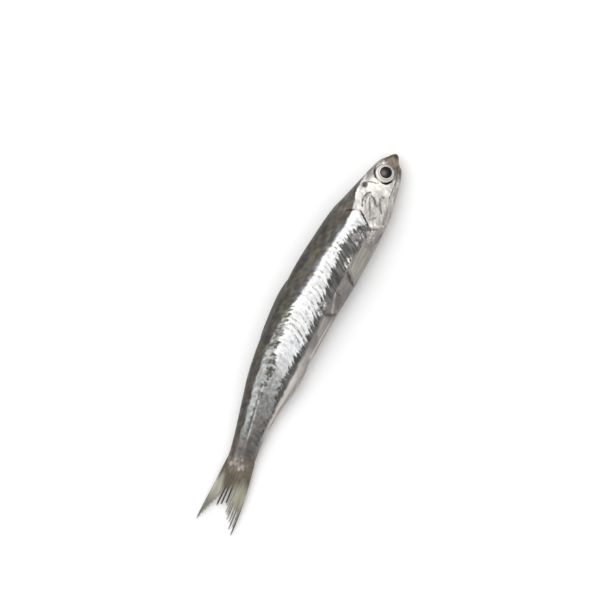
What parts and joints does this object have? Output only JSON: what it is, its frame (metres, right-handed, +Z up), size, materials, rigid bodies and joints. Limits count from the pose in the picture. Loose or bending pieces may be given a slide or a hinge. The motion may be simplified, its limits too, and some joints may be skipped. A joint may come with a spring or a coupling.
{
  "type": "fresh anchovy",
  "caption": "Whole small silver fish lying on its left flank: slender body, blunt projecting snout, large round eye, gill cover, folded fins and a forked, frayed tail fin.",
  "frame": {"origin": "on the surface that the fish lies on, under the middle of its length and of its depth", "axes": "+X from the tail to the snout, +Y from the belly to the back, +Z up, out of the right flank"},
  "size_m": [0.14, 0.0227, 0.0112],
  "materials": {
    "skin": "wet fish skin: silver flanks, grey-brown back, satin gloss",
    "eye": "wet fish eye: pale silver iris round a black pupil, high gloss"
  },
  "bodies": {
    "root": {"anchovy": "skin", "eye_right": "eye", "eye_left": "eye"}
  },
  "joints": []
}
